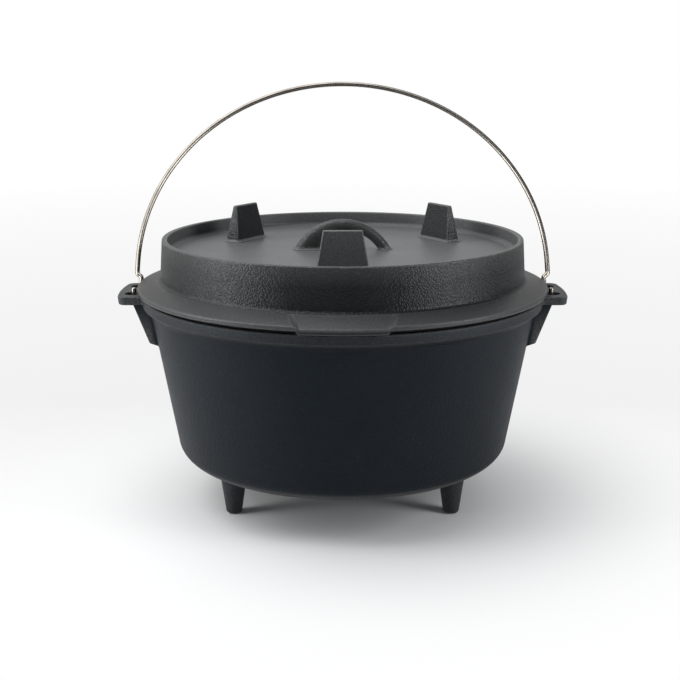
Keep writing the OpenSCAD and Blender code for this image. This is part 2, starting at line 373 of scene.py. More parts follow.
def turn_solid(
    name: str,
    corners: Sequence[Corner],
    arc_steps: int,
    turn_steps: int,
    place: Matrix | None = None,
    longest: float = math.inf,
) -> Object:
    """Turn an outline round the Z axis into a solid.

    Args:
        name: The solid's name.
        corners: The outline's corners in order.
        arc_steps: Chords in each rounded corner.
        turn_steps: Steps of the turn.
        place: Where the solid goes, or None to leave it.
        longest: The longest stretch that the outline keeps.

    Returns:
        The solid.
    """
    bm = bmesh.new()
    rounded_outline(bm, corners, arc_steps)
    split_long_edges(bm, bm.edges[:], longest)
    revolve(bm, [(FULL_TURN, turn_steps)])
    return solid(bm, name, place)


def put_together(base: Object, others: Iterable[tuple[Object, Join]]) -> Object:
    """Join or cut solids into one closed mesh, as one casting.

    Args:
        base: The solid to start from.
        others: The solids that are added or cut away, in order; they are used up.

    Returns:
        The base object with its new mesh.
    """
    used = list(others)
    for tool, join in used:
        step = base.modifiers.new(tool.name, "BOOLEAN")
        step.operation = join.value
        step.solver = "MANIFOLD"
        step.object = tool
    bpy.context.view_layer.update()
    graph = bpy.context.evaluated_depsgraph_get()
    mesh = bpy.data.meshes.new_from_object(base.evaluated_get(graph))
    base.modifiers.clear()
    old = base.data
    base.data = mesh
    bpy.data.meshes.remove(old)
    for tool, _ in used:
        spare = tool.data
        bpy.data.objects.remove(tool)
        bpy.data.meshes.remove(spare)
    return base


def to_metres(piece: Object) -> None:
    """Clean a piece's mesh, shade it smooth up to its creases and size it in metres.

    Args:
        piece: The piece, in millimetres.
    """
    bm = bmesh.new()
    bm.from_mesh(piece.data)
    bmesh.ops.remove_doubles(bm, verts=bm.verts[:], dist=WELD)
    bmesh.ops.dissolve_degenerate(bm, edges=bm.edges[:], dist=WELD)
    for face in bm.faces:
        face.smooth = True
    for edge in bm.edges:
        edge.smooth = edge.calc_face_angle(0.0) < CREASE
    bmesh.ops.scale(bm, vec=(MM, MM, MM), verts=bm.verts[:])
    bm.to_mesh(piece.data)
    bm.free()
    shade = piece.modifiers.new("even_normals", "WEIGHTED_NORMAL")
    shade.keep_sharp = True


def store(mesh: Mesh, skin: Skin, values: Sequence[float]) -> None:
    """Keep one value for each vertex of a mesh."""
    layer = mesh.attributes.new(skin.value, "FLOAT", "POINT")
    layer.data.foreach_set("value", values)


def paint(mesh: Mesh, skin: Skin, value_at: Callable[[Vector], float]) -> None:
    """Store a value on each vertex, worked out from its place in millimetres."""
    store(mesh, skin, [value_at(v.co / MM) for v in mesh.vertices])


def paint_edges(mesh: Mesh, share_at: Callable[[Vector], float]) -> None:
    """Store on each vertex how sharply the surface turns outwards there, none in a hollow; the finish
    shows it as scuffing and painted highlight.

    Args:
        mesh: The mesh, in metres.
        share_at: How much of it shows at a place in millimetres.
    """
    bm = bmesh.new()
    bm.from_mesh(mesh)
    turns = []
    for v in bm.verts:
        bends = [e.calc_face_angle_signed(0.0) for e in v.link_edges if e.is_manifold]
        hollow = min(bends, default=0.0) < -WEAR_AND_HIGHLIGHT_TURN / 2.0
        turn = min(max(max(bends, default=0.0) / WEAR_AND_HIGHLIGHT_TURN, 0.0), 1.0)
        turns.append(0.0 if hollow else turn * share_at(v.co / MM))
    bm.free()
    store(mesh, Skin.WEAR_AND_HIGHLIGHT, turns)


class NodeBench:
    """A node tree with short calls to add and join nodes."""

    def __init__(self, owner: Material | World) -> None:
        """Give a material or a world an empty tree.

        Args:
            owner: What the tree belongs to.
        """
        owner.use_nodes = True
        self.tree = owner.node_tree
        self.tree.nodes.clear()

    def add(self, kind: str, inputs: dict | None = None, **settings: object) -> Node:
        """Add a node.

        Args:
            kind: The node's type name.
            inputs: Socket name or number, with a value or the socket that feeds it.
            settings: Properties of the node.

        Returns:
            The node.
        """
        node = self.tree.nodes.new(kind)
        for name, value in settings.items():
            setattr(node, name, value)
        for key, value in (inputs or {}).items():
            if isinstance(value, NodeSocket):
                self.tree.links.new(value, node.inputs[key])
            else:
                node.inputs[key].default_value = value
        return node

    def math(self, operation: str, *values: float | NodeSocket) -> NodeSocket:
        """Add a Math node and return its result."""
        node = self.add("ShaderNodeMath", dict(enumerate(values)), operation=operation)
        return node.outputs[0]

    def blend(self, factor: NodeSocket, low: Rgba | NodeSocket, high: Rgba | NodeSocket) -> NodeSocket:
        """Mix two colours and return the result."""
        node = self.add("ShaderNodeMix", {0: factor, 6: low, 7: high}, data_type="RGBA")
        return node.outputs[2]

    def spread(self, value: NodeSocket, span: Span, to: Span = (0.0, 1.0)) -> NodeSocket:
        """Map a value from one range to another, held at the ends, and return it."""
        inputs = dict(enumerate((value, *span, *to)))
        return self.add("ShaderNodeMapRange", inputs, clamp=True).outputs[0]

    def place(self) -> NodeSocket:
        """The shaded point in the object's own coordinates."""
        return self.add("ShaderNodeTexCoord").outputs["Object"]

    def skin(self, skin: Skin) -> NodeSocket:
        """A value that the mesh carries, 0 where it carries none."""
        return self.add("ShaderNodeAttribute", attribute_name=skin.value).outputs["Fac"]

    def noise(self, place: NodeSocket, size: float, detail: float) -> NodeSocket:
        """Noise whose lumps are about so many metres across."""
        node = self.add(
            "ShaderNodeTexNoise",
            {"Vector": place, "Scale": 1.0 / size, "Detail": detail, "Roughness": NOISE_ROUGHNESS},
        )
        return node.outputs[0]

    def cells(self, place: NodeSocket, size: float) -> NodeSocket:
        """Distance from the middles of cells about so many metres across, in cells."""
        node = self.add(
            "ShaderNodeTexVoronoi", {"Vector": place, "Scale": 1.0 / size, "Randomness": 1.0}
        )
        return node.outputs["Distance"]

    def surface(self, height: NodeSocket, relief: float, inputs: dict) -> None:
        """End the tree in a surface with a relief.

        Args:
            height: Height of the relief.
            relief: How many metres a height of 1 is.
            inputs: The other inputs of the surface.
        """
        bump = self.add("ShaderNodeBump", {"Strength": 1.0, "Distance": relief, "Height": height})
        shader = self.add("ShaderNodeBsdfPrincipled", {**inputs, "Normal": bump.outputs[0]})
        self.add("ShaderNodeOutputMaterial", {"Surface": shader.outputs[0]})


@dataclass(frozen=True)
class SeasonedIron:
    """Sand-cast iron with a baked-on black oil coat. Metres."""

    name: str
    deep: Rgba
    # Lighter coat, for oil blotches and for painted glints on the pebbles
    blotch_and_glint: Rgba
    sheen_tint: Rgba
    # Grey from rubbing, also used as painted light on lit faces
    rubbed_and_lit: Rgba = (0.112, 0.114, 0.116, 1.0)
    # Colour of scuffed edges and of the painted highlight lines along them
    edge: Rgba = (0.130, 0.128, 0.125, 1.0)
    rough_fine: float = 0.42
    rough_coarse: float = 0.38
    rough_drift: float = 0.04
    specular: float = 0.32
    pebble: float = 0.0015
    pebble_span: Span = (0.08, 0.70)
    pebble_lift: float = 0.85
    # Painted glints: the pebble crowns where the glint noise runs high
    top_span: Span = (0.45, 0.95)
    glint: float = 0.0022
    glint_span: Span = (0.46, 0.66)
    sand: float = 0.0009
    sand_lift: float = 0.35
    sand_detail: float = 2.0
    dust_span: Span = (0.34, 0.66)
    dust_share: Span = (0.62, 1.04)
    wear_and_highlight_span: Span = (0.30, 0.70)
    wear_and_highlight_share: Span = (0.30, 1.0)
    blotch: float = 0.050
    blotch_detail: float = 4.0
    blotch_span: Span = (0.30, 0.72)
    blotch_share: float = 0.22
    drift_span: Span = (0.25, 0.75)
    grain_span: Span = (0.3, 0.9)
    pit_spacing: float = 0.024
    pit_share: float = 0.045
    relief: float = 0.00024

    def material(self) -> Material:
        """Wire the finish.

        Returns:
            The material.
        """
        made = bpy.data.materials.new(self.name)
        bench = NodeBench(made)
        place = bench.place()
        grain = bench.skin(Skin.GRAIN)
        sand = bench.noise(place, self.sand, self.sand_detail)
        blotch = bench.noise(place, self.blotch, self.blotch_detail)
        pebble = bench.spread(bench.cells(place, self.pebble), self.pebble_span, (1.0, 0.0))
        pit = bench.spread(bench.cells(place, self.pit_spacing), (0.0, self.pit_share), (1.0, 0.0))

        # Colour: oil blotches; painted glints on the pebble crowns; grey from rubbing, with painted
        # light on some lid faces; scuffed edges that also carry painted highlight lines
        shine = bench.spread(bench.noise(place, self.glint, self.sand_detail), self.glint_span)
        painted_glints = bench.math("MULTIPLY", bench.spread(pebble, self.top_span), grain)
        painted_glints = bench.math("MULTIPLY", painted_glints, shine)
        patches = bench.spread(blotch, self.blotch_span, (0.0, self.blotch_share))
        coat = bench.blend(bench.math("ADD", painted_glints, patches), self.deep, self.blotch_and_glint)
        dust = bench.spread(sand, self.dust_span, self.dust_share)
        coat = bench.blend(bench.math("MULTIPLY", bench.skin(Skin.RUB_AND_LIGHT), dust), coat, self.rubbed_and_lit)
        wear_and_highlight = bench.spread(sand, self.wear_and_highlight_span, self.wear_and_highlight_share)
        wear_and_highlight = bench.math("MULTIPLY", bench.skin(Skin.WEAR_AND_HIGHLIGHT), wear_and_highlight)

        # Relief: pebbles of the sand mould, fine sand, a few pits
        lumps = bench.math("MULTIPLY", bench.math("MULTIPLY", pebble, grain), self.pebble_lift)
        height = bench.math("ADD", lumps, bench.math("MULTIPLY", sand, self.sand_lift))
        height = bench.math("SUBTRACT", height, pit)

        drift = bench.spread(blotch, self.drift_span, (-self.rough_drift, self.rough_drift))
        rough = bench.spread(grain, self.grain_span, (self.rough_fine, self.rough_coarse))
        bench.surface(
            height,
            self.relief,
            {
                "Base Color": bench.blend(wear_and_highlight, coat, self.edge),
                "Roughness": bench.math("ADD", rough, drift),
                "Specular IOR Level": self.specular,
                "Specular Tint": self.sheen_tint,
            },
        )
        return made


@dataclass(frozen=True)
class DrawnSteel:
    """Bright drawn steel wire with faint die marks. Metres."""

    name: str
    bright: Rgba = (0.34, 0.31, 0.275, 1.0)
    dull: Rgba = (0.24, 0.21, 0.18, 1.0)
    dull_span: Span = (0.35, 0.70)
    rough: Span = (0.24, 0.32)
    rough_span: Span = (0.30, 0.70)
    mark: float = 0.0016
    mark_detail: float = 3.0
    haze: float = 0.0224
    haze_detail: float = 2.0
    relief: float = 0.000003

    def material(self) -> Material:
        """Wire the finish.

        Returns:
            The material.
        """
        made = bpy.data.materials.new(self.name)
        bench = NodeBench(made)
        place = bench.place()
        marks = bench.noise(place, self.mark, self.mark_detail)
        haze = bench.noise(place, self.haze, self.haze_detail)
        bench.surface(
            marks,
            self.relief,
            {
                "Base Color": bench.blend(bench.spread(haze, self.dull_span), self.bright, self.dull),
                "Metallic": 1.0,
                "Roughness": bench.spread(haze, self.rough_span, self.rough),
            },
        )
        return made


def hand_over(piece: Object, body: Body, nodes: Sequence[str]) -> None:
    """Seat a finished piece in the frame.

    Args:
        piece: The piece.
        body: The body it rides on.
        nodes: The frame's nodes that it stands for.
    """
    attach(piece, body.value)
    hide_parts(*nodes)
    LOG.info("%s rides on %s, %d faces", piece.name, body.value, len(piece.data.polygons))


@dataclass(frozen=True)
class PotCasting:
    """The pot: tapered wall, rim band, legs, ears and ribs in one pour. Millimetres."""

    mouth_r: float = 152.5
    pot_h: float = 134.5
    wall_t: float = 4.5
    wall_draft: float = math.radians(10.0)
    floor_t: float = 5.5
    corner_r: float = 15.5
    rim_w: float = 8.7
    rim_h: float = 8.2
    rim_edge_r: float = 1.5
    band_cove: float = 4.0
    cove_r: float = 3.0
    mouth_bevel: float = 1.0
    leg_h: float = 38.5
    leg_circle_r: float = 101.0
    leg_root_d: float = 23.0
    leg_foot_d: float = 12.4
    leg_edge_r: float = 2.4
    leg_fillet: float = 4.0
    leg_angles: tuple[float, ...] = (90.0, 210.0, 330.0)
    ear_t: float = 7.0
    ear_half_w: float = 29.3
    ear_tip_x: float = 180.9
    ear_corner_r: float = 6.0
    ear_taper: float = 0.9
    ear_edge_r: float = 1.1
    ear_low: float = 0.15
    ear_fillet: float = 2.0
    ear_hole_d: float = 12.0
    ear_hole_x: float = 168.8
    ear_hole_y: float = 15.0
    ear_hole_edge: float = 0.9
    rib_t: float = 7.0
    rib_y: float = 25.7
    rib_top_x: float = 167.6
    rib_drop: float = 40.0
    rib_foot_out: float = 4.5
    rib_toe: float = 2.0
    rib_edge_r: float = 1.3
    rib_fillet: float = 1.2
    grain_inside: float = 0.35
    grain_outside: float = 0.8
    turn_steps: int = 288
    small_turn_steps: int = 48
    wall_steps: int = 6
    arc_steps: int = 8
    ear_arc_steps: int = 24
    fillet_steps: int = 5
    edge_steps: int = 4

    @property
    def under_z(self) -> float:
        """Height of the underside."""
        return self.leg_h

    @property
    def rim_z(self) -> float:
        """Height of the rim."""
        return self.under_z + self.pot_h

    @property
    def rim_r(self) -> float:
        """Outer radius of the rim band."""
        return self.mouth_r + self.rim_w

    @property
    def ear_top_z(self) -> float:
        """Height of the ears' top face, a little under the rim."""
        return self.rim_z - self.ear_low

    def wall_in(self, z: float) -> float:
        """Radius of the inner wall at a height."""
        return self.mouth_r - (self.rim_z - z) * math.tan(self.wall_draft)

    def wall_out(self, z: float) -> float:
        """Radius of the outer wall at a height."""
        return self.wall_in(z) + self.wall_t / math.cos(self.wall_draft)

    def shell(self) -> Object:
        """Revolve the wall, floor and rim band.

        Returns:
            The solid.
        """
        floor_z = self.under_z + self.floor_t
        cove_z = self.rim_z - self.rim_h - self.band_cove
        band_z = self.rim_z - self.rim_h + self.rim_edge_r / 2.0
        section = [
            Corner(0.0, self.under_z),
            Corner(self.wall_out(self.under_z), self.under_z, self.corner_r),
            Corner(self.wall_out(cove_z), cove_z, self.cove_r),
            Corner(self.rim_r, band_z, self.rim_edge_r),
            Corner(self.rim_r, self.rim_z, self.rim_edge_r),
            Corner(self.mouth_r, self.rim_z, self.mouth_bevel),
            Corner(self.wall_in(floor_z), floor_z, self.corner_r - self.wall_t),
            Corner(0.0, floor_z),
        ]
        longest = self.mouth_r / self.wall_steps
        return turn_solid("pot_shell", section, self.arc_steps, self.turn_steps, longest=longest)

    def leg(self, angle: float) -> Object:
        """Turn one leg with a rounded foot and a flared root.

        Args:
            angle: Where it stands round the pot, in degrees.

        Returns:
            The solid.
        """
        root_z = self.under_z + HAIR
        sunk_z = self.under_z + self.floor_t / 2.0
        flare_r = self.leg_root_d / 2.0 + 2.0 * self.leg_fillet
        section = [
            Corner(0.0, 0.0),
            Corner(self.leg_foot_d / 2.0, 0.0, self.leg_edge_r),
            Corner(self.leg_root_d / 2.0, root_z, self.leg_fillet),
            Corner(flare_r, root_z),
            Corner(flare_r, sunk_z),
            Corner(0.0, sunk_z),
        ]
        place = place_round(angle, self.leg_circle_r, 0.0)
        return turn_solid(f"leg_{angle:.0f}", section, self.arc_steps, self.small_turn_steps, place)

    def ear_outline(self) -> list[Vector]:
        """Plan outline of the ear at +X, rounded into the rim band.

        Returns:
            Its points in order.
        """
        middle = Vector((0.0, 0.0))
        reach = self.ear_tip_x - self.ear_corner_r
        corner_y = self.ear_half_w - self.ear_corner_r
        corner = Vector((math.sqrt(reach**2 - corner_y**2), corner_y))
        edge_end = math.atan2(corner.y, corner.x)
        far = self.rim_r + self.ear_fillet
        cove_y = self.ear_half_w + self.ear_fillet
        cove = Vector((math.sqrt(far**2 - cove_y**2), cove_y))
        rim_end = math.atan2(cove.y, cove.x)
        side = arc_points(corner, self.ear_corner_r, edge_end, QUARTER, self.arc_steps)[1:]
        side += arc_points(
            cove, self.ear_fillet, 1.5 * math.pi, math.pi + rim_end, self.arc_steps
        )
        inside = self.mouth_r + self.rim_w / 2.0
        outline = arc_points(middle, self.ear_tip_x, -edge_end, edge_end, self.ear_arc_steps)
        outline += side
        outline += arc_points(middle, inside, rim_end, -rim_end, self.ear_arc_steps)
        return outline + [Vector((p.x, -p.y)) for p in reversed(side)]

    def ear_hole(self, y: float) -> Object:
        """Turn the cutter of one ear hole, flared at both faces.

        Args:
            y: Where the hole lies along Y.

        Returns:
            The solid.
        """
        r = self.ear_hole_d / 2.0
        wide = r + 2.0 * self.ear_hole_edge
        top = self.ear_top_z + HAIR
        low = self.ear_top_z - self.ear_t - HAIR
        section = [
            Corner(0.0, low - self.ear_t),
            Corner(wide, low - self.ear_t),
            Corner(wide, low),
            Corner(r, low, self.ear_hole_edge),
            Corner(r, top, self.ear_hole_edge),
            Corner(wide, top),
            Corner(wide, top + self.ear_t),
            Corner(0.0, top + self.ear_t),
        ]
        place = Matrix.Translation((self.ear_hole_x, y, 0.0))
        return turn_solid("ear_hole", section, self.arc_steps, self.small_turn_steps, place)

    def rib(self, y: float) -> Object:
        """Draw one rib out of the wall under the ear, with a flared root.

        Args:
            y: Middle of the rib along Y.

        Returns:
            The solid.
        """
        foot_z = self.rim_z - self.rib_drop
        top_z = self.ear_top_z - self.ear_t / 2.0
        half = self.rib_t / 2.0
        # Each section: how far it lies out of the wall, half width, drop
        sections = [(-self.wall_t / 2.0, half + self.rib_fillet, self.rib_fillet)]
        for out, grow in fillet_curve(self.rib_fillet, self.fillet_steps):
            sections.append((out - HAIR, half + grow, grow))
        sections.append((0.0, half, -self.rib_toe))
        # Each corner of a section: its side, and whether it lies at the top
        corners = ((-1.0, False), (1.0, False), (1.0, True), (-1.0, True))
        bm = bmesh.new()
        face = square_face(bm, half, half)
        for index, (out, width, drop) in enumerate(sections):
            if index:
                face, _ = raised(bm, face)
            for v, (side, high) in zip(face.verts, corners):
                z = top_z if high else foot_z - drop
                at_y = y + side * width
                x = math.sqrt(self.wall_out(z) ** 2 - at_y**2) + out
                if index == len(sections) - 1:
                    x = self.rib_top_x if high else self.wall_out(foot_z) + self.rib_foot_out
                v.co = (x, at_y, z)
        bmesh.ops.recalc_face_normals(bm, faces=bm.faces[:])
        soften(bm, face.edges, self.rib_edge_r, self.edge_steps)
        return solid(bm, "rib")

    def ear(self) -> Object:
        """Make the ear at +X with its holes and ribs.

        Returns:
            The solid.
        """
        bm = bmesh.new()
        face = bm.faces.new([bm.verts.new((p.x, p.y, self.ear_top_z)) for p in self.ear_outline()])
        under, verts = raised(bm, face)
        root_x = self.mouth_r + self.rim_w / 2.0
        shrink = 1.0 - self.ear_taper / (self.ear_tip_x - root_x)
        bmesh.ops.translate(bm, vec=(0.0, 0.0, -self.ear_t), verts=verts)
        bmesh.ops.scale(
            bm, vec=(shrink, 1.0, 1.0), verts=verts, space=Matrix.Translation((-root_x, 0.0, 0.0))
        )
        bmesh.ops.recalc_face_normals(bm, faces=bm.faces[:])
        soften(bm, [*face.edges, *under.edges], self.ear_edge_r, self.edge_steps)
        plate = solid(bm, "ear_right")
        sides = (-1.0, 1.0)
        return put_together(
            plate,
            [(self.ear_hole(s * self.ear_hole_y), Join.CUT) for s in sides]
            + [(self.rib(s * self.rib_y), Join.ADD) for s in sides],
        )

    def build(self) -> Object:
        """Join the shell, legs and ears into the pot.

        Returns:
            The piece.
        """
        right = self.ear()
        bm = bmesh.new()
        bm.from_mesh(right.data)
        left = solid(bm, "ear_left", Matrix.Scale(-1.0, 4, AXIS_X))
        parts = [(self.leg(a), Join.ADD) for a in self.leg_angles]
        parts += [(right, Join.ADD), (left, Join.ADD)]
        piece = put_together(self.shell(), parts)
        piece.name = "pot_casting"
        to_metres(piece)
        return piece

    def grain_at(self, place: Vector) -> float:
        """How coarse the cast skin is, rougher outside and scoured inside.

        Args:
            place: The place, in millimetres.

        Returns:
            The coarseness, 0 to 1.
        """
        inside = math.hypot(place.x, place.y) < self.wall_in(place.z) + self.wall_t / 2.0
        scoured = inside and place.z > self.under_z + self.floor_t / 2.0
        return self.grain_inside if scoured else self.grain_outside

    def wear_and_highlight_at(self, place: Vector) -> float:
        """How much of the scuffed edges and their painted highlight shows at a place: none close to the
        plain wall.
        """
        off_wall = math.hypot(place.x, place.y) - self.wall_out(place.z)
        return smoothstep(self.rib_fillet, 2.0 * self.rib_fillet, abs(off_wall))

    def dress(self, piece: Object) -> None:
        """Give the pot its finish and its place in the frame.

        Args:
            piece: The piece that build made.
        """
        paint(piece.data, Skin.GRAIN, self.grain_at)
        paint_edges(piece.data, self.wear_and_highlight_at)
        piece.data.materials.clear()
        finish = SeasonedIron(
            "seasoned_pot_iron",
            deep=(0.0040, 0.0058, 0.0082, 1.0),
            blotch_and_glint=(0.020, 0.020, 0.020, 1.0),
            sheen_tint=(0.66, 0.84, 1.0, 1.0),
            specular=0.16,
            rough_fine=0.50,
            rough_coarse=0.50,
        )
        piece.data.materials.append(finish.material())
        hand_over(piece, Body.POT, ["pot"])


@dataclass(frozen=True)
class LidCasting:
    """The lid: plate, coal rim, flange, front lip, loop and feet in one pour. Millimetres."""

    pot: PotCasting
    seat_clear: float = 0.2
    flange_over: float = 3.7
    flange_w: float = 18.3
    flange_edge_t: float = 3.0
    flange_edge_r: float = 1.1
    flange_gap: float = 3.2
    flange_root_h: float = 12.4
    flange_fillet: float = 3.5
    coal_rim_h: float = 44.4
    coal_rim_draft: float = math.radians(3.8)
    coal_rim_t: float = 4.2
    coal_edge_r: float = 1.2
    tray_depth: float = 11.4
    tray_fillet: float = 3.0
    tray_step_in: float = 3.75
    tray_step_out: float = 3.45
    plate_t: float = 5.0
    lid_wall_t: float = 4.5
    pan_fillet: float = 6.0
    ring_h: float = 4.0
    ring_clear: float = 1.2
    ring_step: float = 0.6
    ring_bevel: float = 1.0
    seat_in: float = 2.6
    lip_w: float = 64.0
    lip_flare: float = 4.5
    lip_drop: float = 1.8
    lip_clear: float = 0.4
    lip_blend: float = 2.4
    lip_groove: float = 0.6
    groove_in: float = 0.2
    groove_half_w: float = 1.1
    groove_up: float = 0.7
    groove_run: float = 0.12
    lip_sector: float = 34.0
    foot_h: float = 30.0
    foot_w: float = 39.0
    foot_top_w: float = 29.0
    foot_t: float = 12.6
    foot_top_t: float = 3.4
    foot_circle_r: float = 97.5
    foot_edge_r: float = 0.9
    foot_wear_and_highlight_w: float = 0.6
    foot_fillet: float = 2.0
    foot_angles: tuple[float, ...] = (32.5, 147.5, 270.0)
    loop_h: float = 24.6
    loop_r: float = 39.0
    loop_bar_d: float = 9.0
    loop_fillet: float = 1.4
    loop_sunk: float = 4.0
    loop_cut: float = 3.5
    root_half: float = 9.8
    root_depth: float = 5.6
    root_from: float = math.radians(5.0)
    root_full: float = math.radians(45.0)
    fillet_lift: float = 0.45
    grain_flange: float = 0.55
    grain_foot: float = 0.9
    grain_rim: float = 1.0
    grain_plate: float = 0.4
    flange_wear_and_highlight: float = 0.8
    rub_flange: float = 0.08
    painted_light_flange_front: float = 0.30
    painted_light_rim: float = 0.7
    front_foot_grey: float = 0.60
    rear_feet_grey: float = 0.15
    flange_step: float = 1.2
    plate_steps: int = 7
    sector_steps: tuple[int, int, int] = (204, 120, 58)
    arc_steps: int = 6
    fillet_steps: int = 6
    edge_steps: int = 3
    loop_steps: int = 60
    loop_sides: int = 32

    @property
    def seat_z(self) -> float:
        """Height of the seat; the lid's own heights start here."""
        return self.pot.rim_z + self.seat_clear

    @property
    def flange_r(self) -> float:
        """Radius of the flange's edge."""
        return self.pot.rim_r + self.flange_over

    @property
    def flange_top_h(self) -> float:
        """Height of the flange's top edge."""
        return self.flange_gap + self.flange_edge_t

    @property
    def coal_base_r(self) -> float:
        """Radius of the coal rim where it meets the flange."""
        return self.flange_r - self.flange_w

    @property
    def plate_top_h(self) -> float:
        """Height of the plate's top."""
        return self.coal_rim_h - self.tray_depth

    @property
    def plate_z(self) -> float:
        """Height of the plate's top in the frame."""
        return self.seat_z + self.plate_top_h

    @property
    def seat_out_r(self) -> float:
        """Outer radius of the seat."""
        return self.pot.rim_r - self.seat_in

    def coal_out(self, h: float) -> float:
        """Radius of the coal rim's outside at a height."""
        return self.coal_base_r - (h - self.flange_root_h) * math.tan(self.coal_rim_draft)

    def flange_top(self, r: float) -> float:
        """Height of the flange's top at a radius."""
        fall = (self.flange_root_h - self.flange_top_h) / self.flange_w
        return self.flange_root_h - (r - self.coal_base_r) * fall

    def flange_under(self, r: float) -> float:
        """Height of the flange's underside at a radius."""
        rise = self.flange_gap / (self.flange_r - self.seat_out_r)
        return max(0.0, (r - self.seat_out_r) * rise)

    def corners(self) -> list[Corner]:
        """Corners of the lid's section.

        Returns:
            The corners in order, heights in the frame.
        """
        top_r = self.coal_out(self.coal_rim_h)
        tray_r = top_r - self.coal_rim_t - self.tray_depth * math.tan(self.coal_rim_draft)
        under_h = self.plate_top_h - self.plate_t
        ring_r = self.pot.mouth_r - self.ring_clear
        section = [
            Corner(0.0, self.plate_top_h),
            Corner(tray_r - self.tray_step_in, self.plate_top_h, self.fillet_lift / 2.0),
            Corner(tray_r - self.tray_step_out, self.plate_top_h + self.fillet_lift),
            Corner(tray_r, self.plate_top_h + self.fillet_lift, self.tray_fillet),
            Corner(top_r - self.coal_rim_t, self.coal_rim_h, self.coal_edge_r),
            Corner(top_r, self.coal_rim_h, self.coal_edge_r),
            Corner(self.coal_base_r, self.flange_root_h, self.flange_fillet),
            Corner(self.flange_r, self.flange_top_h, self.flange_edge_r),
            Corner(self.flange_r, self.flange_gap, self.flange_edge_r),
            Corner(self.seat_out_r, 0.0, self.ring_step),
            Corner(self.pot.mouth_r + self.pot.mouth_bevel, 0.0),
            Corner(ring_r, -self.ring_step, self.ring_step / 2.0),
            Corner(ring_r, -self.ring_h, self.ring_bevel),
            Corner(ring_r - self.lid_wall_t, -self.ring_h, self.ring_bevel),
            Corner(self.coal_base_r - self.lid_wall_t, self.flange_root_h, self.pan_fillet),
            Corner(self.coal_out(under_h) - self.lid_wall_t, under_h, self.pan_fillet),
            Corner(0.0, under_h),
        ]
        return [Corner(c.x, c.y + self.seat_z, c.radius) for c in section]

    def lip_shift(self, place: Vector) -> float:
        """How far the front lip moves a point of the plain flange.

        Args:
            place: The point.

        Returns:
            The change of its height.
        """
        r, h = self.spot(place)
        root_r = self.coal_base_r + self.flange_fillet
        if place.y > 0.0 or r < root_r or h < HAIR:
            return 0.0
        run = (self.flange_r + place.y) / self.flange_w
        inside = self.lip_w / 2.0 + self.lip_flare * run - abs(place.x)
        share = smoothstep(0.0, self.lip_blend, inside)
        top, under = self.flange_top(r), self.flange_under(r)
        up = min(max((h - under) / (top - under), 0.0), 1.0)
        out = (r - root_r) / (self.flange_r - root_r)
        new_top = top - self.lip_drop * out
        new_under = min(under, self.lip_clear)
        groove = self.lip_groove * math.exp(-(((inside - self.groove_in) / self.groove_half_w) ** 2))
        groove *= smoothstep(self.groove_up, 1.0, up) * smoothstep(0.0, self.groove_run, out)
        return share * (new_under + up * (new_top - new_under) - h) - groove

    def shell(self) -> Object:
        """Revolve the lid's section and shape the front lip.

        Returns:
            The solid.
        """
        bm = bmesh.new()
        rounded_outline(bm, self.corners(), self.arc_steps)
        root_r = self.coal_base_r + self.flange_fillet / 2.0
        flange = [e for e in bm.edges if min(v.co.x for v in e.verts) > root_r]
        split_long_edges(bm, flange, self.flange_step)
        split_long_edges(bm, bm.edges[:], self.coal_base_r / self.plate_steps)
        start = FRONT - self.lip_sector / 2.0
        rest = FULL_TURN - start - self.lip_sector
        revolve(bm, list(zip((start, self.lip_sector, rest), self.sector_steps)))
        for v in bm.verts:
            v.co.z += self.lip_shift(v.co)
        return solid(bm, "lid_shell")

    def skirt(self, half_x: float, half_y: float, radius: float, fillet: float) -> BMesh:
        """Raise the fillet round the base of something that stands on the plate.

        Args:
            half_x: Half its size along X at the plate.
            half_y: Half its size along Y at the plate.
            radius: Radius of its corners there.
            fillet: Radius of the fillet.

        Returns:
            The mesh, with the plate at height 0.
        """
        levels = [Level(-self.plate_t / 2.0, half_x + fillet, half_y + fillet)]
        for rise, out in fillet_curve(fillet, self.fillet_steps):
            grow = out - HAIR
            levels.append(Level(self.fillet_lift + rise, half_x + grow, half_y + grow))
        bm = bmesh.new()
        square_face(bm, levels[0].half_x, levels[0].half_y)
        soften(bm, bm.verts[:], radius + fillet, self.fillet_steps, Rounding.CORNERS)
        bm.faces.ensure_lookup_table()
        raise_block(bm, bm.faces[0], levels)
        return bm

    def foot(self, angle: float) -> list[Object]:
        """Raise one foot of the lid, a tapered block with crisp edges, and its base fillet.

        Args:
            angle: Where it stands round the lid, in degrees.

        Returns:
            The solids.
        """
        place = place_round(angle, self.foot_circle_r, self.plate_z)
        sunk = self.plate_t / 2.0
        spread = sunk / self.foot_h
        base = Level(
            -sunk,
            (self.foot_t + (self.foot_t - self.foot_top_t) * spread) / 2.0,
            (self.foot_w + (self.foot_w - self.foot_top_w) * spread) / 2.0,
        )
        top = Level(self.foot_h, self.foot_top_t / 2.0, self.foot_top_w / 2.0)
        bm = bmesh.new()
        raise_block(bm, square_face(bm, base.half_x, base.half_y), [base, top])
        shown = [e for e in bm.edges if max(v.co.z for v in e.verts) > 0.0]
        sides = [f for f in bm.faces if f.calc_center_median().z > 0.0]
        bmesh.ops.inset_individual(bm, faces=sides, thickness=self.foot_edge_r + self.foot_wear_and_highlight_w)
        soften(bm, shown, self.foot_edge_r, self.edge_steps)
        block = solid(bm, f"foot_{angle:.0f}", place)
        skirt = self.skirt(self.foot_t / 2.0, self.foot_w / 2.0, self.foot_edge_r, self.foot_fillet)
        return [block, solid(skirt, f"foot_skirt_{angle:.0f}", place)]

    @property
    def loop_z(self) -> float:
        """Height of the loop's centre."""
        return self.plate_z + self.loop_h - self.loop_bar_d / 2.0 - self.loop_r

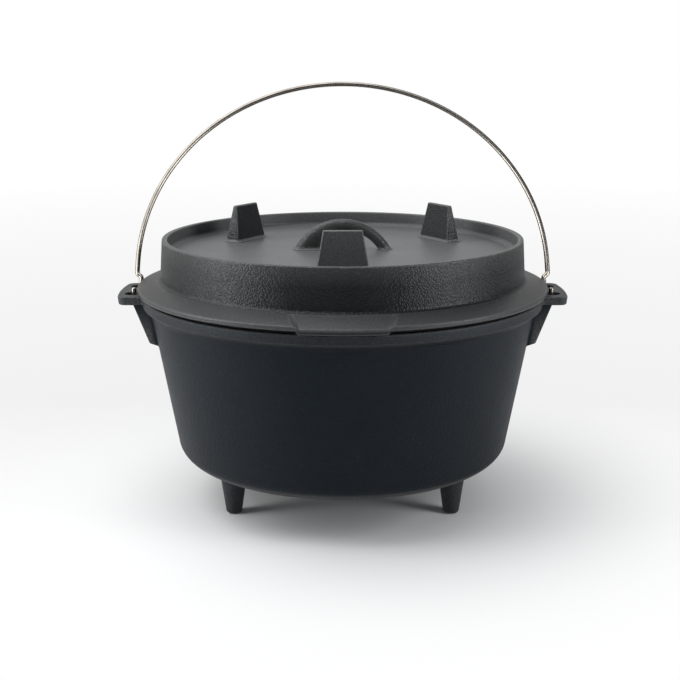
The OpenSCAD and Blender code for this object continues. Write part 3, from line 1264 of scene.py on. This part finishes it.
    def loop_section(self, angle: float) -> Matrix:
        """Place of the loop's section at an angle from its crown; the left root is broader.

        Args:
            angle: The angle, in radians, to the right of the crown.

        Returns:
            The matrix that takes a unit circle across X to the section.
        """
        bar = self.loop_bar_d / 2.0
        share = smoothstep(self.root_from, self.root_full, -angle)
        across = bar + (self.root_half - bar) * share
        deep = bar + (self.root_depth - bar) * share
        turned = Matrix.Translation((0.0, 0.0, self.loop_z)) @ Matrix.Rotation(angle, 4, "Y")
        out = Matrix.Translation((0.0, 0.0, self.loop_r + bar - across))
        return turned @ out @ Matrix.Diagonal((1.0, deep, across, 1.0))

    def loop(self) -> Object:
        """Bend the loop's bar over the plate.

        Returns:
            The solid.
        """
        half = math.acos((self.plate_z - self.loop_sunk - self.loop_z) / self.loop_r)
        angles = [half - 2.0 * half * i / self.loop_steps for i in range(self.loop_steps + 1)]
        bm = bmesh.new()
        face = round_face(bm, 1.0, self.loop_sides, self.loop_section(half))
        for before, after in zip(angles, angles[1:]):
            face, verts = raised(bm, face)
            move = self.loop_section(after) @ self.loop_section(before).inverted()
            bmesh.ops.transform(bm, matrix=move, verts=verts)
        bmesh.ops.recalc_face_normals(bm, faces=bm.faces[:])
        cut = bmesh.ops.bisect_plane(
            bm,
            geom=bm.verts[:] + bm.edges[:] + bm.faces[:],
            plane_co=(0.0, 0.0, self.plate_z - self.loop_cut),
            plane_no=AXIS_Z,
            clear_inner=True,
        )
        rims = [g for g in cut["geom_cut"] if isinstance(g, BMEdge)]
        bmesh.ops.holes_fill(bm, edges=rims, sides=0)
        bmesh.ops.recalc_face_normals(bm, faces=bm.faces[:])
        return solid(bm, "loop")

    def loop_roots(self) -> list[Object]:
        """Raise the fillets round the loop's slim right end and its broad left end.

        Returns:
            The solids.
        """
        bar = self.loop_bar_d / 2.0
        rise = self.plate_z - self.loop_z
        outer = math.sqrt((self.loop_r + bar) ** 2 - rise**2)
        inner = math.sqrt((self.loop_r - bar) ** 2 - rise**2)
        broad = math.sqrt((self.loop_r + bar - 2.0 * self.root_half) ** 2 - rise**2)
        made = []
        for side, near, deep in ((1.0, inner, bar), (-1.0, broad, self.root_depth)):
            half_x = (outer - near) / 2.0
            bm = self.skirt(half_x, deep, deep - HAIR, self.loop_fillet)
            place = Matrix.Translation((side * (outer + near) / 2.0, 0.0, self.plate_z))
            made.append(solid(bm, "loop_root", place))
        return made

    def build(self) -> Object:
        """Join the shell, feet and loop into the lid.

        Returns:
            The piece.
        """
        solids = [self.loop(), *self.loop_roots()]
        for angle in self.foot_angles:
            solids += self.foot(angle)
        piece = put_together(self.shell(), [(s, Join.ADD) for s in solids])
        piece.name = "lid_casting"
        to_metres(piece)
        return piece

    def spot(self, place: Vector) -> Span:
        """Radius of a place and its height over the seat."""
        return math.hypot(place.x, place.y), place.z - self.seat_z

    @property
    def tray_foot_r(self) -> float:
        """Radius inside which the tray is plate, and outside which it rises to the coal rim."""
        return self.coal_base_r - 2.0 * self.coal_rim_t

    def grain_at(self, place: Vector) -> float:
        """How coarse the cast skin is, coarsest on the coal rim and the feet.

        Args:
            place: The place, in millimetres.

        Returns:
            The coarseness, 0 to 1.
        """
        r, h = self.spot(place)
        if r > self.coal_base_r + self.flange_fillet:
            return self.grain_flange
        if h > self.plate_top_h + self.foot_fillet and r < self.tray_foot_r:
            return self.grain_foot
        return self.grain_rim if r > self.coal_out(h) - self.coal_rim_t / 2.0 else self.grain_plate

    def wear_and_highlight_at(self, place: Vector) -> float:
        """How much of the scuffed edges and their painted highlight shows at a place: less on the
        flange, which gets rubbing.
        """
        r, _ = self.spot(place)
        return self.flange_wear_and_highlight if r > self.coal_base_r + self.flange_fillet else 1.0

    def rub_and_light_at(self, place: Vector) -> float:
        """How far the coat turns grey, most on the plate, less on rim, feet and flange; on the coal
        rim's inner face and the flange's front this grey is painted light.

        Args:
            place: The place, in millimetres.

        Returns:
            The share of grey, 0 to 1.
        """
        r, h = self.spot(place)
        # Painted light: the flange's grey grows towards the front
        if r > self.coal_base_r + self.flange_fillet / 2.0 and h > self.flange_gap:
            return self.rub_flange + self.painted_light_flange_front * max(0.0, -place.y / r)
        over_plate = h > self.plate_top_h
        # Painted light: the coal rim's inner face is lit grey
        if over_plate and self.tray_foot_r < r < self.coal_out(h) - self.coal_rim_t / 2.0:
            return self.painted_light_rim
        if abs(h - self.plate_top_h) < self.foot_fillet and r < self.tray_foot_r:
            return 1.0
        # The front foot is lighter grey than the rear ones
        if over_plate and abs(r - self.foot_circle_r) < self.foot_w / 2.0:
            return self.front_foot_grey if place.y < 0.0 else self.rear_feet_grey
        return 0.0

    def dress(self, piece: Object) -> None:
        """Give the lid its finish and its place in the frame.

        Args:
            piece: The piece that build made.
        """
        paint(piece.data, Skin.GRAIN, self.grain_at)
        paint(piece.data, Skin.RUB_AND_LIGHT, self.rub_and_light_at)
        paint_edges(piece.data, self.wear_and_highlight_at)
        piece.data.materials.clear()
        finish = SeasonedIron(
            "seasoned_lid_iron",
            deep=(0.0018, 0.0018, 0.0019, 1.0),
            blotch_and_glint=(0.011, 0.0107, 0.0103, 1.0),
            sheen_tint=(0.92, 0.96, 1.0, 1.0),
        )
        piece.data.materials.append(finish.material())
        hand_over(piece, Body.LID, ["lid"])


@dataclass(frozen=True)
class BailWire:
    """The bail: one steel wire, hooked through the ears and leaning back. Millimetres."""

    lid: LidCasting
    wire_d: float = 4.0
    bail_clear: float = 0.5
    joggle_step: float = 3.7
    joggle_at: float = 18.3
    joggle_a: float = math.radians(60.0)
    bail_leg: float = 31.0
    hook_r: float = 15.6
    hinge_up: float = 1.0
    lean_clear: float = 0.3
    tip_up: float = 1.5
    tip_run: float = 2.6
    tip_r: float = 1.84
    hole_out: float = 1.4
    sides: int = 20
    arch_steps: int = 60
    joggle_steps: int = 6
    hook_steps: int = 30
    tip_steps: int = 5

    @property
    def hook_x(self) -> float:
        """Where the hooks lie along X, clear of the flange."""
        return self.lid.flange_r + self.bail_clear + self.wire_d / 2.0

    @property
    def lean(self) -> float:
        """How far the bail leans back, until its legs meet the holes' edges.

        Returns:
            The angle, in radians.
        """
        pot = self.lid.pot
        hole_r = pot.ear_hole_d / 2.0
        edge_y = pot.ear_hole_y + math.sqrt(hole_r**2 - self.hole_out**2)
        edge_r = math.hypot(edge_y, self.hinge_up)
        touch = (self.hook_r + self.wire_d / 2.0 + self.lean_clear) / edge_r
        return math.atan2(self.hinge_up, edge_y) + math.acos(touch)

    @staticmethod
    def run(bm: BMesh, face: BMFace, step: Point) -> BMFace:
        """Draw the wire's end straight on.

        Args:
            bm: The mesh to work in.
            face: The wire's end.
            step: How far and which way.

        Returns:
            The new end.
        """
        face, verts = raised(bm, face)
        bmesh.ops.translate(bm, vec=step, verts=verts)
        return face

    @staticmethod
    def bend(
        bm: BMesh, face: BMFace, centre: Point, axis: Point, angle: float, steps: int
    ) -> BMFace:
        """Bend the wire's end round a centre, by an angle in radians, and return the new end."""
        end = spin(bm, [face, *face.edges, *face.verts], centre, axis, angle, steps)
        return next(g for g in end if isinstance(g, BMFace))

    def half_wire(self, bm: BMesh) -> None:
        """Draw the wire from the middle of the arch, left open, to the tip of one hook.

        Args:
            bm: The mesh to work in, still empty.
        """
        arch_r = self.hook_x + self.joggle_step
        joggle_r = self.joggle_step / (2.0 * (1.0 - math.cos(self.joggle_a)))
        joggle_half = joggle_r * math.sin(self.joggle_a)
        upper, lower = self.joggle_at + joggle_half, self.joggle_at - joggle_half
        crown = Matrix.Translation((0.0, self.hook_r, self.bail_leg + arch_r))
        face = round_face(bm, self.wire_d / 2.0, self.sides, crown)
        seam = set(face.verts)
        centre = (0.0, self.hook_r, self.bail_leg)
        face = self.bend(bm, face, centre, AXIS_Y, QUARTER, self.arch_steps)
        face = self.run(bm, face, (0.0, 0.0, upper - self.bail_leg))
        centre = (arch_r - joggle_r, self.hook_r, upper)
        face = self.bend(bm, face, centre, AXIS_Y, self.joggle_a, self.joggle_steps)
        centre = (self.hook_x + joggle_r, self.hook_r, lower)
        face = self.bend(bm, face, centre, AXIS_Y, -self.joggle_a, self.joggle_steps)
        face = self.run(bm, face, (0.0, 0.0, -lower))
        turn = math.pi - self.lean + math.asin(self.tip_up / self.hook_r)
        face = self.bend(bm, face, (self.hook_x, 0.0, 0.0), AXIS_X, -turn, self.hook_steps)
        ahead = Matrix.Rotation(-turn, 3, "X") @ Vector((0.0, 0.0, -self.tip_run))
        face = self.run(bm, face, tuple(ahead))
        soften(bm, face.edges, self.tip_r, self.tip_steps)
        middle = next(f for f in bm.faces if set(f.verts) == seam)
        bmesh.ops.delete(bm, geom=[middle], context="FACES_ONLY")

    def build(self) -> Object:
        """Draw one half of the wire, mirror it and lean it back.

        Returns:
            The piece.
        """
        bm = bmesh.new()
        self.half_wire(bm)
        bmesh.ops.mirror(
            bm,
            geom=bm.verts[:] + bm.edges[:] + bm.faces[:],
            matrix=Matrix.Identity(4),
            merge_dist=WELD,
            axis="X",
        )
        bmesh.ops.remove_doubles(bm, verts=bm.verts[:], dist=WELD)
        bmesh.ops.recalc_face_normals(bm, faces=bm.faces[:])
        hinge_z = self.lid.pot.ear_top_z + self.hinge_up
        lean = Matrix.Translation((0.0, 0.0, hinge_z)) @ Matrix.Rotation(-self.lean, 4, "X")
        piece = solid(bm, "bail_wire", lean)
        to_metres(piece)
        return piece

    def dress(self, piece: Object) -> None:
        """Give the wire its finish and its place in the frame."""
        piece.data.materials.append(DrawnSteel("drawn_bail_steel").material())
        hand_over(piece, Body.BAIL, ["bail_handle"])


@dataclass(frozen=True)
class SoftBox:
    """A square studio lamp that looks at a point. Metres."""

    name: str
    place: Point
    size: float
    watts: float
    aim: Point = (0.0, 0.0, 0.12)

    def build(self) -> None:
        """Hang the lamp."""
        lamp: Light = bpy.data.lights.new(self.name, "AREA")
        lamp.shape = "SQUARE"
        lamp.size = self.size
        lamp.energy = self.watts
        made = bpy.data.objects.new(self.name, lamp)
        made.location = self.place
        look = Vector(self.aim) - Vector(self.place)
        made.rotation_euler = look.to_track_quat("-Z", "Y").to_euler()
        bpy.context.scene.collection.objects.link(made)


@dataclass(frozen=True)
class Studio:
    """The pale floor, the soft lamps, the white surround and the camera. Metres."""

    camera_place: Point = (-0.00207, -0.94059, 0.36171)
    camera_pitch: float = 0.2410
    lens: float = 62.19
    sensor: float = 36.0
    floor_half: float = 6.0
    floor_cells: int = 4
    floor_low: float = 0.0002
    floor_tone: Rgba = (0.74, 0.74, 0.74, 1.0)
    white_near: float = 0.10
    white_far: float = 0.34
    white_front: float = -0.12
    white_back: float = 0.25
    painted_shade_depth: float = 0.12
    white_end: float = 2.5
    front: Rgba = (0.03, 0.05, 0.07, 1.0)
    back: Rgba = (0.75, 0.75, 0.75, 1.0)
    bright_way: Point = (-0.25, 0.80, 0.30)
    bright_span: Span = (0.20, 0.75)
    lamps: tuple[SoftBox, ...] = (
        SoftBox("lamp_left_high", (-1.10, -0.25, 0.75), 0.6, 7.0),
        SoftBox("lamp_left_low", (-1.25, -0.42, 0.26), 0.5, 6.5),
        SoftBox("lamp_top", (-0.45, -0.05, 1.40), 1.3, 17.0),
        SoftBox("lamp_right_high", (1.02, -0.50, 0.70), 0.52, 6.5),
        SoftBox("lamp_right_low", (1.15, -0.56, 0.25), 0.45, 4.0),
    )

    def camera(self) -> None:
        """Set the camera where the picture was taken from."""
        data = bpy.data.cameras.new("picture_camera")
        data.lens = self.lens
        data.sensor_width = self.sensor
        made = bpy.data.objects.new("picture_camera", data)
        tilt = Matrix.Rotation(QUARTER - self.camera_pitch, 4, "X")
        made.matrix_world = Matrix.Translation(self.camera_place) @ tilt
        bpy.context.scene.collection.objects.link(made)
        bpy.context.scene.camera = made

    def floor(self) -> None:
        """Lay the pale floor, which fades to white away from the object; the camera-only white has a
        painted shade behind the object that lifts again further away.
        """
        bm = bmesh.new()
        cells = self.floor_cells
        bmesh.ops.create_grid(bm, x_segments=cells, y_segments=cells, size=self.floor_half)
        bmesh.ops.translate(bm, vec=(0.0, 0.0, -self.floor_low), verts=bm.verts[:])
        made = solid(bm, "studio_floor")
        material = bpy.data.materials.new("pale_floor")
        bench = NodeBench(material)
        place = bench.place()
        away = bench.add("ShaderNodeVectorMath", {0: place}, operation="LENGTH").outputs["Value"]
        camera = bench.add("ShaderNodeLightPath").outputs["Is Camera Ray"]
        fade = bench.spread(away, (self.white_near, self.white_far))
        fade = bench.math("MULTIPLY", fade, camera)
        matte = bench.add("ShaderNodeBsdfDiffuse", {"Color": self.floor_tone})
        depth = bench.add("ShaderNodeSeparateXYZ", {0: place}).outputs["Y"]
        # Painted shade: the camera-only white is dimmer towards the back, lifting again far away
        painted_back_shade = bench.spread(depth, (self.white_front, self.white_back), (1.0, 1.0 - self.painted_shade_depth))
        rise = bench.spread(away, (self.white_far, self.white_end), (0.0, self.painted_shade_depth))
        level = bench.math("MINIMUM", bench.math("ADD", painted_back_shade, rise), 1.0)
        white = bench.add("ShaderNodeEmission", {"Color": WHITE, "Strength": level})
        mix = bench.add("ShaderNodeMixShader", {0: fade, 1: matte.outputs[0], 2: white.outputs[0]})
        bench.add("ShaderNodeOutputMaterial", {"Surface": mix.outputs[0]})
        made.data.materials.append(material)

    def surround(self) -> None:
        """Set the surround: white to the camera, brighter behind the object than in front."""
        world = bpy.data.worlds.new("studio_surround")
        bpy.context.scene.world = world
        bench = NodeBench(world)
        way = bench.add("ShaderNodeTexCoord").outputs["Generated"]
        along = bench.add("ShaderNodeVectorMath", {0: way, 1: self.bright_way}, operation="DOT_PRODUCT")
        rear = bench.spread(along.outputs["Value"], self.bright_span)
        tone = bench.blend(rear, self.front, self.back)
        camera = bench.add("ShaderNodeLightPath").outputs["Is Camera Ray"]
        tone = bench.blend(camera, tone, WHITE)
        light = bench.add("ShaderNodeBackground", {"Color": tone, "Strength": 1.0})
        bench.add("ShaderNodeOutputWorld", {"Surface": light.outputs[0]})

    def build(self) -> None:
        """Set up the whole studio."""
        scene = bpy.context.scene
        scene.view_settings.view_transform = "Standard"
        self.camera()
        self.floor()
        self.surround()
        for lamp in self.lamps:
            lamp.build()


def main() -> None:
    """Load the frame, build and dress each piece, light the scene and log each piece's face count."""
    logging.basicConfig(level=logging.INFO, format="%(message)s")
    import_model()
    Studio().build()
    pot = PotCasting()
    lid = LidCasting(pot)
    bail = BailWire(lid)
    for part in (pot, lid, bail):
        part.dress(part.build())


if __name__ == "__main__":
    main()
